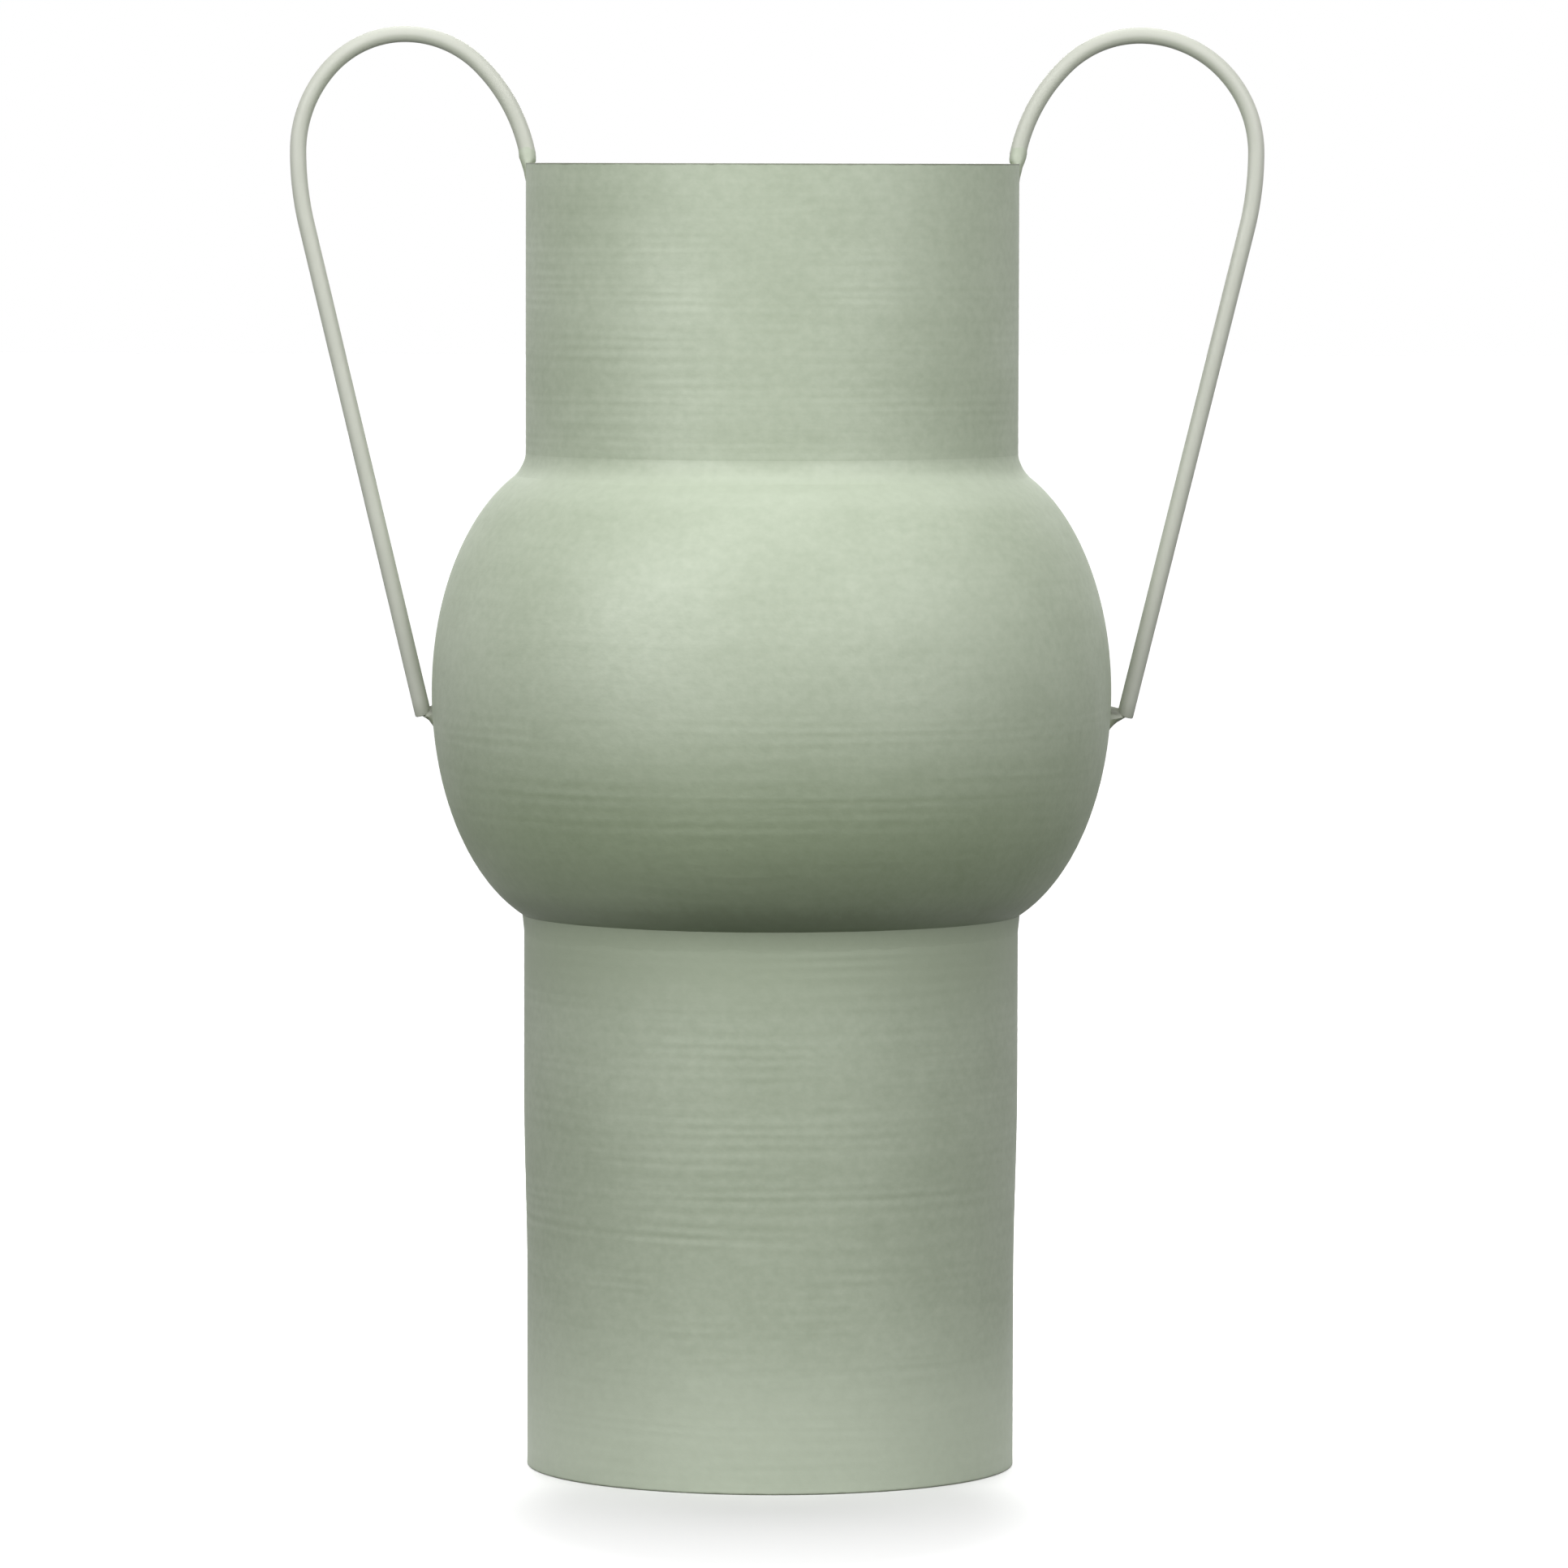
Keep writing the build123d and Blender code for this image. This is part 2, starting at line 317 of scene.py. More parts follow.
def paintMaterial(name, look):
    material = bpy.data.materials.new(name)
    material.use_nodes = True
    tree = material.node_tree
    links = tree.links
    shader = tree.nodes["Principled BSDF"]
    shader.inputs["Specular IOR Level"].default_value = look["gloss"]
    lines = addNode(tree, "ShaderNodeGroup", (-900, 100), node_tree=spunLines)
    setInputs(lines, Lines=look["lines"], Grain=look["grain"], Reach=look["streaks"])
    paint = addNode(tree, "ShaderNodeGroup", (-680, 200), node_tree=sprayedPaint)
    setInputs(paint, Tone=toLinear(look["tone"]), Deep=toLinear(look["deep"]), Under=look["under"] + (1,),
              Speck=toLinear(look["speck"]), Specks=look["specks"])
    links.new(lines.outputs["Streak"], paint.inputs["Streak"])
    colour = paint.outputs["Color"]
    for number, (level, width, ragged, bandTone, amount) in enumerate(look.get("edges", [])):
        band = addNode(tree, "ShaderNodeGroup", (-460, 450 + 200 * number), node_tree=wearAndLightBand)
        setInputs(band, Level=level, Width=width, Worn=ragged)
        strength = addNode(tree, "ShaderNodeMath", (-300, 450 + 200 * number), operation="MULTIPLY")
        strength.inputs[1].default_value = amount
        links.new(band.outputs["Band"], strength.inputs[0])
        banded = addNode(tree, "ShaderNodeMix", (-140, 300 + 200 * number), data_type="RGBA")
        banded.inputs[7].default_value = toLinear(bandTone)
        links.new(strength.outputs[0], banded.inputs["Factor"])
        links.new(colour, banded.inputs[6])
        colour = banded.outputs[2]
    links.new(colour, shader.inputs["Base Color"])
    rough = addNode(tree, "ShaderNodeMath", (-300, 0), operation="ADD")
    rough.inputs[1].default_value = look["roughness"]
    links.new(paint.outputs["Sheen"], rough.inputs[0])
    links.new(rough.outputs[0], shader.inputs["Roughness"])
    grain = addNode(tree, "ShaderNodeBump", (-420, -200))
    setInputs(grain, Strength=look["tooth"], Distance=look["toothHeight"])
    links.new(paint.outputs["Tooth"], grain.inputs["Height"])
    relief = addNode(tree, "ShaderNodeBump", (-220, -200))
    setInputs(relief, Strength=look["relief"], Distance=look["lineHeight"])
    links.new(lines.outputs["Height"], relief.inputs["Height"])
    links.new(grain.outputs["Normal"], relief.inputs["Normal"])
    links.new(relief.outputs["Normal"], shader.inputs["Normal"])
    return material


# mesh helpers

sharpAngle = 40  # edges that turn by more degrees stay sharp


def newPiece(name, verts, faces, material, node):
    mesh = bpy.data.meshes.new(name)
    mesh.from_pydata(verts, [], faces)
    mesh.update()
    mesh.shade_smooth()
    mesh.set_sharp_from_angle(angle=math.radians(sharpAngle))
    mesh.materials.append(material)
    piece = bpy.data.objects.new(name, mesh)
    scene.collection.objects.link(piece)
    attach(piece, "root")
    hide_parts(node)


# ring of faces turned about the vase's axis; the outline is (radius, height), up the outside first
def turnedMesh(outline, sides, surface):
    verts = []
    faces = []
    rings = []
    for radius, height in outline:
        if radius == 0:
            rings.append([len(verts)] * sides)
            verts.append((0, 0, height))
            continue
        rings.append(list(range(len(verts), len(verts) + sides)))
        for side in range(sides):
            angle = 2 * math.pi * side / sides
            out = radius + surface(angle, radius, height)
            verts.append((out * math.sin(angle), -out * math.cos(angle), height))
    closing = [] if outline[0][0] == 0 else [(rings[-1], rings[0])]
    for low, high in list(zip(rings, rings[1:])) + closing:
        for side in range(sides):
            after = (side + 1) % sides
            corners = []
            for corner in (low[side], low[after], high[after], high[side]):
                if corner not in corners:
                    corners.append(corner)
            faces.append(corners)
    return verts, faces


# faces of equal rings stacked in one list of points, with both ends closed
def stackFaces(rings, sides):
    faces = []
    for ring in range(rings - 1):
        low = ring * sides
        high = low + sides
        for k in range(sides):
            after = (k + 1) % sides
            faces.append((low + k, high + k, high + after, low + after))
    first = list(range(sides))
    return faces + [first, [(rings - 1) * sides + k for k in first[::-1]]]


# 1 at a level, fading to 0 a reach or two away from it
def nearLevel(height, level, reach):
    return math.exp(-((height - level) / reach) ** 2)


# how fast the hand-made unevenness changes round the vase and, per metre, up it
wander = {
    "slow": (1.3, 14),
    "waver": (0.7, 150),
    "amount": (2.5, 120),
    "usualAmount": 0.6,
    "scoreShare": 0.6,
}


def wanderAt(kind, place, height, seed):
    around, up = wander[kind]
    return noise.noise(place * around + Vector((0, 0, height * up + seed)))


# slow out-of-round of a hand-made body, the shallow rings left by turning it and a few deeper scores
def handTurned(look):
    def surface(angle, radius, height):
        place = Vector((math.sin(angle), -math.cos(angle), 0))
        slow = wanderAt("slow", place, height, look["seed"])
        waver = wanderAt("waver", place, height, look["seed"])
        amount = wander["usualAmount"] + wanderAt("amount", place, height, -look["seed"])
        for middle, reach, extra in look["bands"]:
            amount *= 1 + extra * nearLevel(height, middle, reach)
        ring = amount * math.sin(2 * math.pi * height / look["ringPitch"] + look["waver"] * waver)
        score = 0
        for level, depth, reach in look["scores"]:
            score += depth * nearLevel(height, level, reach)
        score *= wander["scoreShare"] + amount * wander["scoreShare"]
        return look["outOfRound"] * slow + look["ringDepth"] * ring - score
    return surface


def levels(low, high, step):
    count = max(2, round((high - low) / step))
    return [low + (high - low) * i / count for i in range(count + 1)]


# quarter turn that starts at an angle, for the rounded edges of cut sheet
def edgeRound(middle, radius, start, steps=4):
    points = []
    for i in range(steps + 1):
        turn = math.radians(start + 90 * i / steps)
        points.append((middle[0] + radius * math.cos(turn), middle[1] + radius * math.sin(turn)))
    return points


# body paint, shared by neck, belly and foot with their own line strengths

bodyPaint = {
    "tone": (187, 197, 177),
    "deep": (161, 172, 150),
    "under": (0.68, 0.74, 0.6),  # painted shade: share of the tone left on faces that look down
    "speck": (92, 96, 80),
    "specks": 0.02,
    "gloss": 0.5,
    "roughness": 0.5,
    "tooth": 0.25,
    "toothHeight": 0.05 * mm,
    "lines": 1.0,
    "grain": 1.3,
    "streaks": 1.0,
    "relief": 0.3,
    "lineHeight": 0.1 * mm,
}

weldPaint = paintMaterial("weldPaint", dict(bodyPaint, lines=0.0, tooth=0.5))

neckLook = {
    "sides": 192,
    "step": 0.42 * mm,
    "insideStep": 3 * mm,
    "edge": 0.15 * mm,
    "outOfRound": 0.06 * mm,
    "ringDepth": 0.018 * mm,
    "ringPitch": 2.6 * mm,
    "waver": 4.5,
    "bands": [(rim, 22 * mm, -0.8)],  # level, reach, how much stronger
    "scores": [],  # level, depth, half width
    "seed": 3.0,
    "paint": dict(bodyPaint, edges=[  # level, width, how uneven, tone, amount
        (rim, 0.5 * mm, 1, (96, 100, 84), 0.8),
        # painted light: a paler band at the foot of the neck and on the upper crease's fillet, where light
        # falls from above
        (upperCrease - 1.5 * mm, 2.6 * mm, 0.2, (208, 218, 199), 0.25),
    ]),
}


def makeNeck(look):
    edge = look["edge"]
    outside = [(neckRadius, z) for z in levels(upperCrease, rim - edge, look["step"])]
    lip = edgeRound((neckRadius - edge, rim - edge), edge, 0)[1:]
    lip += edgeRound((neckRadius - sheet + edge, rim - edge), edge, 90)
    inside = [(neckRadius - sheet, z) for z in levels(upperCrease, rim - edge, look["insideStep"])][::-1][1:]
    verts, faces = turnedMesh(outside + lip + inside, look["sides"], handTurned(look))
    newPiece("neckWall", verts, faces, paintMaterial("neckPaint", look["paint"]), "neck_tube")


makeNeck(neckLook)
print("neck made")


bellyLook = {
    "sides": 192,
    "step": 0.42 * mm,
    "insideStep": 2 * mm,
    "outOfRound": 0.06 * mm,
    "ringDepth": 0.018 * mm,
    "ringPitch": 3.6 * mm,
    "waver": 5.5,
    "bands": [(upperCrease, 62 * mm, -0.9)],
    "scores": [(168 * mm, -0.02 * mm, 0.7 * mm), (161 * mm, 0.015 * mm, 0.8 * mm)],
    "seed": 11.0,
    "paint": dict(bodyPaint, lines=0.75, grain=1.5, streaks=0.8, relief=0.5, specks=0.03, edges=[
        # painted shade: a darker band round the lower crease, in the shadow under the belly
        (lowerCrease, 8 * mm, 0.5, (124, 136, 110), 0.6),
        # painted light: a paler band on the belly's top by the neck, where the light falls from above
        (upperCrease - 2.5 * mm, 7 * mm, 0.2, (208, 218, 199), 0.18),
    ]),
}


# half width of the belly's oval for an end radius, and its outside radius at a level
def ovalWidth(endRadius):
    return (bellyRadius - endRadius) / (1 - math.sqrt(1 - (halfBelly / ovalHeight) ** 2))


def bellyRadiusAt(height, endRadius, inset=0.0):
    width = ovalWidth(endRadius)
    share = (height - bellyMiddle) / (ovalHeight - inset)
    return bellyRadius - width + (width - inset) * math.sqrt(max(0.0, 1 - share ** 2))


def makeBelly(look):
    material = paintMaterial("bellyPaint", look["paint"])
    for name, node, low, high, endRadius in (
        ("bellyUpperHalf", "belly_upper_shell", bellyMiddle, upperCrease, neckRadius),
        ("bellyLowerHalf", "belly_lower_shell", lowerCrease, bellyMiddle, footTopRadius),
    ):
        outside = [(bellyRadiusAt(z, endRadius), z) for z in levels(low, high, look["step"])]
        inside = [(bellyRadiusAt(z, endRadius, sheet), z) for z in levels(low, high, look["insideStep"])]
        verts, faces = turnedMesh(outside + inside[::-1], look["sides"], handTurned(look))
        newPiece(name, verts, faces, material, node)


# weld between the halves: ground flush outside, a rippled bead inside
bellySeamLook = {
    "sides": 360,
    "root": 0.3 * mm,  # stays this far under the outside
    "proud": 0.5 * mm,
    "spread": 1.6,  # width of the inner bead for the gap's
    "steps": 8,
    "ripple": 0.06 * mm,
    "ripplePitch": 1.7 * mm,
    "rippleFrom": 0.1 * mm,
    "beatWaves": 5,
    "beatSwing": 3,
}


def makeBellySeam(look):
    half = (seamHigh.z - seamLow.z) / 2
    inner = bellyRadius - sheet

    def ripple(angle, radius, height):
        if radius > inner - look["rippleFrom"]:
            return 0
        beat = look["beatSwing"] * math.cos(look["beatWaves"] * angle)
        return look["ripple"] * math.sin(2 * math.pi * angle * bellyRadius / look["ripplePitch"] + beat)

    outer = bellyRadius - look["root"]
    outline = [(outer, bellyMiddle - half), (outer, bellyMiddle + half)]
    for i in range(look["steps"] + 1):
        turn = math.pi * i / look["steps"]
        level = bellyMiddle + look["spread"] * half * math.cos(turn)
        outline.append((inner - look["proud"] * math.sin(turn), level))
    verts, faces = turnedMesh(outline, look["sides"], ripple)
    newPiece("bellySeam", verts, faces, weldPaint, "belly_seam_weld")


makeBelly(bellyLook)
makeBellySeam(bellySeamLook)
print("belly made")


footLook = {
    "sides": 192,
    "step": 0.42 * mm,
    "insideStep": 3 * mm,
    "edge": 0.3 * mm,
    "baseRadius": plateHigh.x + 0.1 * mm + sheet,  # the plate has a little room inside the wall
    "easeStart": 46 * mm,  # the foot widens from here up, over this length
    "easeLength": 46 * mm,
    "outOfRound": 0.06 * mm,
    "ringDepth": 0.015 * mm,
    "ringPitch": 3.2 * mm,
    "waver": 4.5,
    "bands": [(118 * mm, 18 * mm, 0.3), (64 * mm, 6 * mm, 0.4), (20 * mm, 30 * mm, -0.1)],
    "scores": [
        (70.8 * mm, 0.02 * mm, 0.9 * mm),
        (61.2 * mm, 0.03 * mm, 0.9 * mm),
        (113 * mm, 0.015 * mm, 0.8 * mm),
    ],
    "seed": 23.0,
    "paint": dict(bodyPaint, edges=[
        # painted light: paler towards the floor, for the light thrown up from it
        (0.0, 44 * mm, 0.2, (206, 216, 196), 0.5),
        # painted shade: darker below the lower crease, in the belly's shadow
        (lowerCrease, 24 * mm, 0.3, (158, 169, 146), 0.7),
        # a dark line at the cut bottom edge: wear, and painted contact shade where the foot meets the floor
        (0.0, 0.5 * mm, 1, (120, 126, 108), 0.7),
    ]),
}


def footRadiusAt(height, look=footLook):
    share = min(1.0, max(0.0, (height - look["easeStart"]) / look["easeLength"]))
    return look["baseRadius"] + (footTopRadius - look["baseRadius"]) * share * share * (3 - 2 * share)


def makeFoot(look):
    edge = look["edge"]
    base = look["baseRadius"]
    lip = edgeRound((base - sheet + edge, edge), edge, 180) + edgeRound((base - edge, edge), edge, 270)
    outside = [(footRadiusAt(z, look), z) for z in levels(edge, lowerCrease, look["step"])][1:]
    inside = [(footRadiusAt(z, look) - sheet, z) for z in levels(edge, lowerCrease, look["insideStep"])]
    inside = inside[::-1][:-1]
    verts, faces = turnedMesh(lip + outside + inside, look["sides"], handTurned(look))
    newPiece("footWall", verts, faces, paintMaterial("footPaint", look["paint"]), "foot_tube")


makeFoot(footLook)
print("foot made")


# fillet in the upper crease, blended into the neck and the belly

neckJointLook = {
    "sides": 192,
    "rise": 4.2 * mm,
    "reach": 3.3 * mm,
    "pull": 2.3 * mm,  # how firmly it follows the neck and the belly before it turns
    "sink": 0.03 * mm,
    "depth": 0.6 * mm,
    "steps": 14,
}


def bezier(a, b, c, d, steps):
    points = []
    for i in range(steps + 1):
        t = i / steps
        s = 1 - t
        points.append(tuple(
            s ** 3 * a[k] + 3 * s * s * t * b[k] + 3 * s * t * t * c[k] + t ** 3 * d[k] for k in range(2)
        ))
    return points


def bellyLevelAt(radius, endRadius):
    width = ovalWidth(endRadius)
    share = (radius - bellyRadius + width) / width
    return bellyMiddle + ovalHeight * math.sqrt(max(0.0, 1 - share ** 2))


def makeNeckJoint(look):
    low = (neckRadius + look["reach"], bellyLevelAt(neckRadius + look["reach"], neckRadius))
    nextRadius = low[0] + 0.1 * mm  # for the belly's slope at that end
    before = (nextRadius, bellyLevelAt(nextRadius, neckRadius))
    along = Vector((low[0] - before[0], low[1] - before[1])).normalized()
    high = (neckRadius, upperCrease + look["rise"])
    lowPull = (low[0] + along.x * look["pull"], low[1] + along.y * look["pull"])
    highPull = (neckRadius, high[1] - look["pull"])
    curve = bezier(low, lowPull, highPull, high, look["steps"])
    face = [(r - look["sink"], z - look["sink"] / 2) for r, z in curve]
    inner = neckRadius - look["depth"]
    under = low[1] - look["depth"]
    back = [(inner, high[1]), (inner, under), (low[0], under)]
    verts, faces = turnedMesh(face + back, look["sides"], handTurned(neckLook))
    newPiece("neckJoint", verts, faces, bpy.data.materials["neckPaint"], "neck_joint_weld")


makeNeckJoint(neckJointLook)


# bead under the belly, thinning out down the foot

footJointLook = {
    "sides": 360,
    "length": 5.0 * mm,
    "proud": 0.45 * mm,
    "rise": 0.6 * mm,  # goes this far up behind the belly
    "depth": 0.5 * mm,
    "tuck": 0.03 * mm,  # the thin end lies just under the foot's skin
    "lowPull": (0.02 * mm, 2.0 * mm),
    "highPull": 1.2 * mm,
    "steps": 14,
    "lump": 0.03 * mm,
    "lumpPitch": 3.0 * mm,
}


def makeFootJoint(look):
    def lumps(angle, radius, height):
        place = Vector((math.sin(angle), math.cos(angle), 0)) * (footTopRadius / look["lumpPitch"])
        return look["lump"] * noise.noise(place + Vector((0, 0, height / look["lumpPitch"])))

    bottom = (footTopRadius - look["tuck"], lowerCrease - look["length"])
    top = (footTopRadius + look["proud"], lowerCrease + look["rise"])
    lowPull = (bottom[0] + look["lowPull"][0], bottom[1] + look["lowPull"][1])
    highPull = (top[0], top[1] - look["highPull"])
    face = bezier(bottom, lowPull, highPull, top, look["steps"])
    inner = footTopRadius - look["depth"]
    back = [(inner, top[1]), (inner, bottom[1])]
    verts, faces = turnedMesh(face + back, look["sides"], lumps)
    newPiece("footJoint", verts, faces, bpy.data.materials["footPaint"], "foot_joint_weld")


makeFootJoint(footJointLook)
print("joint welds made")


# seams down the back of the rolled tubes

tubeSeamLook = {
    "width": 2.6 * mm,
    "proud": 0.24 * mm,
    "ripple": 0.09 * mm,
    "ripplePitch": 1.6 * mm,
    "step": 0.4 * mm,
    "across": 8,
    "endGap": 0.4 * mm,
    "sink": 0.05 * mm,
    "rippleAcross": 1.5,
    "seed": 7.0,
}


def makeTubeSeam(name, node, paint, low, high, radiusAt, look):
    verts = []
    rows = levels(low + look["endGap"], high - look["endGap"], look["step"])
    ringSize = 2 * (look["across"] + 1)  # outside, then inside
    for z in rows:
        radius = radiusAt(z)
        for face in (1, -1):
            for i in range(look["across"] + 1):
                u = (2 * i / look["across"] - 1) * face
                crown = 1 - u * u
                wave = noise.noise(Vector((u * look["rippleAcross"], look["seed"], z / look["ripplePitch"])))
                if face == 1:
                    out = radius - look["sink"] + crown * (look["proud"] + look["ripple"] * wave)
                else:
                    out = radius - sheet + look["sink"] - crown * (look["proud"] + 2 * look["ripple"] * wave)
                angle = math.pi - u * look["width"] / 2 / radius
                verts.append((out * math.sin(angle), -out * math.cos(angle), z))
    faces = stackFaces(len(rows), ringSize)
    newPiece(name, verts, faces, bpy.data.materials[paint], node)


makeTubeSeam("neckSeam", "neck_seam_weld", "neckPaint", upperCrease, rim, lambda z: neckRadius, tubeSeamLook)
makeTubeSeam("footSeam", "foot_seam_weld", "footPaint", 0.0, lowerCrease, footRadiusAt, tubeSeamLook)
print("tube seams made")


# base plate and the weld that holds it

baseLook = {
    "sides": 192,
    "dish": 0.3 * mm,  # the plate bows up a little in the middle
    "edge": 0.2 * mm,
    "rings": 24,
    "weldSides": 540,
    "weldSteps": 8,
    "weldLeg": 2.0 * mm,
    "weldFall": 0.92,  # height of the bead for its width
    "weldFullness": (0.8, 1.4),  # share and strength of its curve
    "weldRoot": (0.2 * mm, 0.3 * mm),  # how far it goes into the wall and the plate
    "ripple": 0.16 * mm,
    "ripplePitch": 2.0 * mm,
    "rippleFrom": 0.05 * mm,
    "waver": (1.5, 4),  # how far and how often the ripples drift
    "paint": dict(bodyPaint, tone=(168, 176, 158), deep=(146, 155, 136), specks=0.08, lines=0.2),
}


def makeBasePlate(look, material):
    radius = plateHigh.x
    low = plateLow.z
    high = plateHigh.z
    under = []
    over = []
    for i in range(look["rings"] + 1):
        share = i / look["rings"]
        bow = look["dish"] * (1 - share * share)
        under.append(((radius - look["edge"]) * share, low + bow))
        over.append(((radius - look["edge"]) * share, high + bow))
    outline = under + [(radius, low + look["edge"]), (radius, high - look["edge"])] + over[::-1]
    verts, faces = turnedMesh(outline, look["sides"], lambda angle, r, z: 0)
    newPiece("basePlate", verts, faces, material, "base_plate")


def makeBaseWeld(look, material):
    radius = plateHigh.x
    low = plateLow.z
    wall = footLook["baseRadius"] - sheet
    leg = look["weldLeg"]

    def ripple(angle, r, z):
        if z > low or r > wall - look["rippleFrom"]:
            return 0
        beat = math.pi * angle * radius / look["ripplePitch"]
        swing, waves = look["waver"]
        beat += swing * noise.noise(Vector((math.sin(angle), math.cos(angle), 2)) * waves)
        return look["ripple"] * (abs(math.sin(beat)) - 0.5)

    # a fillet a little fuller than straight
    def fillet(part):
        share, power = look["weldFullness"]
        return share * part ** power + (1 - share) * part

    fall = leg * look["weldFall"]
    bead = []
    for i in range(look["weldSteps"] + 1):
        turn = math.pi / 2 * i / look["weldSteps"]
        bead.append((wall - leg * fillet(math.cos(turn)), low - fall * fillet(math.sin(turn))))
    root = wall + look["weldRoot"][0]
    top = low + look["weldRoot"][1]
    outline = bead + [(root, low - fall), (root, top), (wall - leg, top)]
    verts, faces = turnedMesh(outline, look["weldSides"], ripple)
    newPiece("baseWeld", verts, faces, material, "base_weld")


basePaint = paintMaterial("basePaint", baseLook["paint"])
makeBasePlate(baseLook, basePaint)
makeBaseWeld(baseLook, basePaint)
print("base made")


# wire handles: one bent wire each, from the belly up over the loop and down to the rim

hands = {"left": -1, "right": 1}  # the handles' sides along X

handleLook = {
    "wireRadius": 2.0 * mm,
    "sides": 24,
    "step": 1.0 * mm,
    "ease": 0.4 * mm,  # rounding of the cut ends
    "halfEase": 0.12 * mm,
    "topEase": 0.3 * mm,
    "uneven": 0.006,  # share of the radius
    "unevenScale": 160,
    "seed": 5.0,
    "crownRise": 31.2 * mm,  # top of the loop above the rim
    "crownOut": 29.3 * mm,  # and out from the neck
    "widestRise": 2.7 * mm,
    "stemLean": 10.5,  # degrees from upright at the rim
    "stemGap": 1.6 * mm,
    "legBend": 78.0 * mm,  # radius between the leg and the loop
    "legDrop": 6.0 * mm,  # end below the belly's middle
    "left": {"widest": 55.4 * mm, "legGap": 0.2 * mm},
    "right": {"widest": 57.6 * mm, "legGap": 1.5 * mm},
    "paint": dict(
        # painted light: paler than the body paint, for the glare on the thin wires; under is painted shade
        # on their lower side
        bodyPaint, tone=(205, 207, 197), deep=(189, 192, 180), under=(0.85, 0.88, 0.83),
        specks=0.04, lines=0.0, grain=0.3, tooth=0.05, relief=0.02,
    ),
}


def turnBy(v, angle):
    c, s = math.cos(angle), math.sin(angle)
    return Vector((v.x * c - v.y * s, v.x * s + v.y * c))


# circular bend that leaves the path's last point along a direction and ends at a point
def bendTo(path, direction, end, step):
    start = path[-1]
    chord = end - start
    half = math.atan2(direction.x * chord.y - direction.y * chord.x, direction.dot(chord))
    if abs(half) < 1e-5:
        count = max(2, round(chord.length / (4 * step)))
        path += [start + chord * (i / count) for i in range(1, count + 1)]
        return direction
    length = chord.length * half / math.sin(half)
    count = max(6, round(length / step))
    for i in range(1, count + 1):
        part = half * i / count
        path.append(start + turnBy(direction, part) * (chord.length * math.sin(part) / math.sin(half)))
    return turnBy(direction, 2 * half)


# two bends that round off a corner and meet in its middle
def fairBend(path, corner, end, step):
    start = path[-1].copy()
    across = (end - start).length
    before = (corner - start).length
    after = (end - corner).length
    middle = (start * after + corner * across + end * before) / (across + before + after)
    direction = bendTo(path, (corner - start).normalized(), middle, step)
    bendTo(path, direction, end, step)


# where the middle of a wire ends beside the belly
def legEnd(look, hand):
    level = bellyMiddle - look["legDrop"]
    return Vector((bellyRadiusAt(level, footTopRadius) + hand["legGap"] + look["wireRadius"], level))


def handlePath(look, hand):
    end = legEnd(look, hand)
    widest = Vector((neckRadius + hand["widest"], rim + look["widestRise"]))
    crown = Vector((neckRadius + look["crownOut"], rim + look["crownRise"]))
    stem = Vector((neckRadius - sheet / 2, rim + look["stemGap"]))
    toMiddle = widest - Vector((look["legBend"], 0)) - end
    length = math.sqrt(toMiddle.length_squared - look["legBend"] ** 2)
    along = toMiddle.normalized()
    outward = Vector((along.y, -along.x))
    top = end + (along * length + outward * look["legBend"]) * (length / toMiddle.length)
    path = [end]
    direction = bendTo(path, (top - end).normalized(), top, look["step"])
    bendTo(path, direction, widest, look["step"])
    fairBend(path, Vector((widest.x, crown.y)), crown, look["step"])
    lean = math.tan(math.radians(look["stemLean"]))
    fairBend(path, Vector((stem.x + (crown.y - stem.y) * lean, crown.y)), stem, look["step"])
    return path


# round bar along a path in the plane of the handles; side is 1 to the right and -1 to the left
def barMesh(path, radii, look, side, seed):
    verts = []
    sides = look["sides"]
    for i, point in enumerate(path):
        ahead = path[min(i + 1, len(path) - 1)] - path[max(i - 1, 0)]
        ahead.normalize()
        for k in range(sides):
            turn = 2 * math.pi * k / sides
            around = Vector((math.cos(turn), math.sin(turn), seed))
            place = Vector((point.x, point.y, 0)) * look["unevenScale"]
            bump = 1 + look["uneven"] * noise.noise(place + around)
            across = math.cos(turn) * radii[i] * bump
            deep = math.sin(turn) * radii[i] * bump
            verts.append((side * (point.x - ahead.y * across), side * deep, point.y + ahead.x * across))
    return verts, stackFaces(len(path), sides)


def makeHandles(look):
    material = paintMaterial("wirePaint", look["paint"])
    for name, side in hands.items():
        path = handlePath(look, look[name])
        # the cut ends are eased a little
        radius = look["wireRadius"]
        first = (path[1] - path[0]).normalized()
        last = (path[-1] - path[-2]).normalized()
        ease, halfEase = look["ease"], look["halfEase"]
        eased = [path[0], path[0] + first * halfEase, path[0] + first * ease]
        eased += path[1:-1] + [path[-1] - last * ease, path[-1]]
        radii = [radius - ease, radius - halfEase] + [radius] * (len(eased) - 3) + [radius - look["topEase"]]
        verts, faces = barMesh(eased, radii, look, side, side * look["seed"])
        newPiece(name + "Wire", verts, faces, material, name + "_handle")


makeHandles(handleLook)
print("handles made")


# weld nuggets where the wires meet the rim and the belly

nuggetLook = {
    "sides": 20,
    "lump": 0.1 * mm,
    "lumpLift": 0.5,  # lumps also lean up
    "lumpPitch": 1.5 * mm,
    "paint": dict(bodyPaint, tone=(196, 203, 187), deep=(176, 184, 165), lines=0.0, tooth=0.4),
    "seed": 4.0,
    "rim": [  # in mm: out from the neck's outside, up from the rim, half width along and across
        (0.08, 4.6, 1.9, 1.9),
        (-0.10, 3.6, 2.02, 2.04),
        (-0.28, 2.4, 2.1, 2.2),
        (-0.42, 1.3, 2.08, 2.3),
        (-0.55, 0.3, 1.85, 2.4),
        (-0.30, -0.9, 1.15, 2.3),
        (-0.25, -2.2, 0.75, 2.0),
        (-0.25, -3.4, 0.5, 1.6),
        (-0.25, -4.4, 0.3, 1.0),
        (-0.30, -5.0, 0.1, 0.5),
    ],
}


